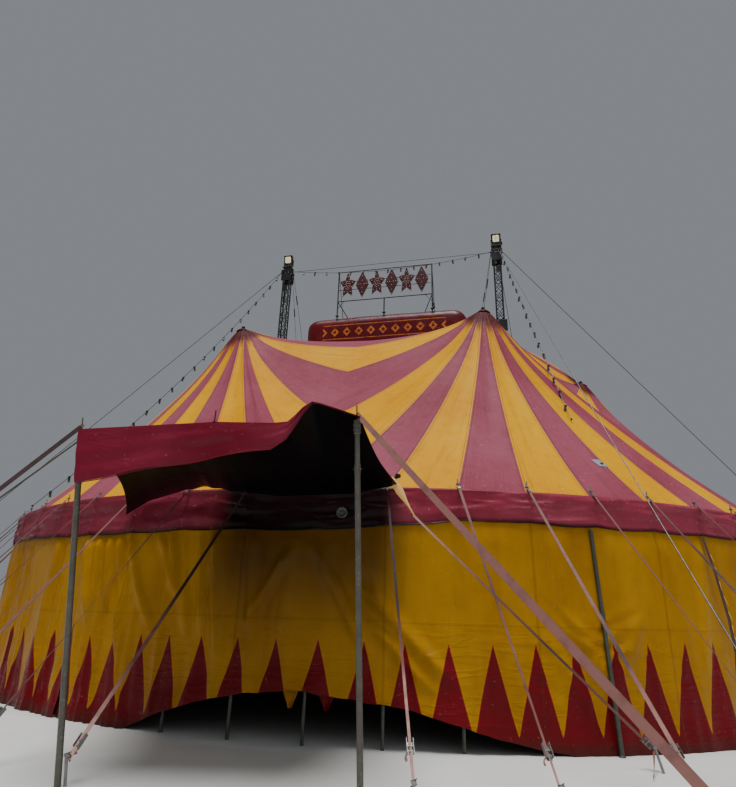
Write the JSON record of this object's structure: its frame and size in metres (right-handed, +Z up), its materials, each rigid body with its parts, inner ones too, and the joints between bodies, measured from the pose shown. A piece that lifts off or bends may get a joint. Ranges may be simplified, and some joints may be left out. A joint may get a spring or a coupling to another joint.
{
  "type": "two-mast circus big top tent",
  "caption": "Oval striped canvas big top with two lattice masts, quarter-pole peaks, a cupola sign and an entrance marquee.",
  "frame": {"origin": "on the ground at the middle of the ground that the tent and its stakes take up", "axes": "+Z up, +X along the line of the two masts, -Y towards the entrance marquee"},
  "size_m": [25.422, 23.5728, 13.0837],
  "materials": {
    "roof_canvas": "satin coated canvas in faded yellow and rose gores",
    "wall_canvas": "satin coated canvas, deep yellow with dark red spikes",
    "red_canvas": "satin coated canvas, dark red",
    "webbing": "matt woven webbing, weathered",
    "wire_rope": "galvanised wire rope",
    "dark_steel": "dark weathered paint",
    "lamp_housing": "black, satin",
    "sign_paint": "dark red, satin",
    "pole_steel": "grey, scuffed",
    "lamp_glass": "clear lamp glass",
    "lamp_lens": "pale floodlight lens",
    "cable": "black flexible cable",
    "patch": "grey-blue repair canvas",
    "cream": "pale piping and hem tape"
  },
  "bodies": {
    "root": {"cupola_cover": "red_canvas", "cupola_deck": "roof_canvas", "cupola_frame": "dark_steel", "eave_guys_front_left": "webbing", "eave_guys_front_right": "webbing", "eave_guys_left_front": "webbing", "eave_guys_left_rear": "webbing", "eave_guys_rear_left": "webbing", "eave_guys_rear_right": "webbing", "eave_guys_right_front": "webbing", "eave_guys_right_rear": "webbing", "entrance_curtain": "wall_canvas", "festoon_left": "cable", "festoon_right": "cable", "festoon_top": "cable", "floodlight_left": "lamp_housing", "floodlight_right": "lamp_housing", "marquee_canopy": "red_canvas", "marquee_pole_left": "pole_steel", "marquee_pole_right": "pole_steel", "marquee_strap_left": "webbing", "marquee_strap_right": "webbing", "mast_guys_left": "wire_rope", "mast_guys_right": "wire_rope", "mast_left": "dark_steel", "mast_right": "dark_steel", "quarter_pole_front_left": "pole_steel", "quarter_pole_front_right": "pole_steel", "quarter_pole_left_end": "pole_steel", "quarter_pole_rear_left": "pole_steel", "quarter_pole_rear_right": "pole_steel", "quarter_pole_right_end": "pole_steel", "roof_crown_front": "roof_canvas", "roof_crown_rear": "roof_canvas", "roof_front_left": "roof_canvas", "roof_front_right": "roof_canvas", "roof_left_end": "roof_canvas", "roof_rear_left": "roof_canvas", "roof_rear_right": "roof_canvas", "roof_right_end": "roof_canvas", "side_poles_front": "pole_steel", "side_poles_left": "pole_steel", "side_poles_rear": "pole_steel", "side_poles_right": "pole_steel", "sign_frame": "dark_steel", "sign_motifs": "sign_paint", "top_wire": "wire_rope", "valance_front": "red_canvas", "valance_rear": "red_canvas", "wall_front_left": "wall_canvas", "wall_front_right": "wall_canvas", "wall_left": "wall_canvas", "wall_prop": "wall_canvas", "wall_rear_left": "wall_canvas", "wall_rear_right": "wall_canvas", "wall_right": "wall_canvas"}
  },
  "joints": []
}
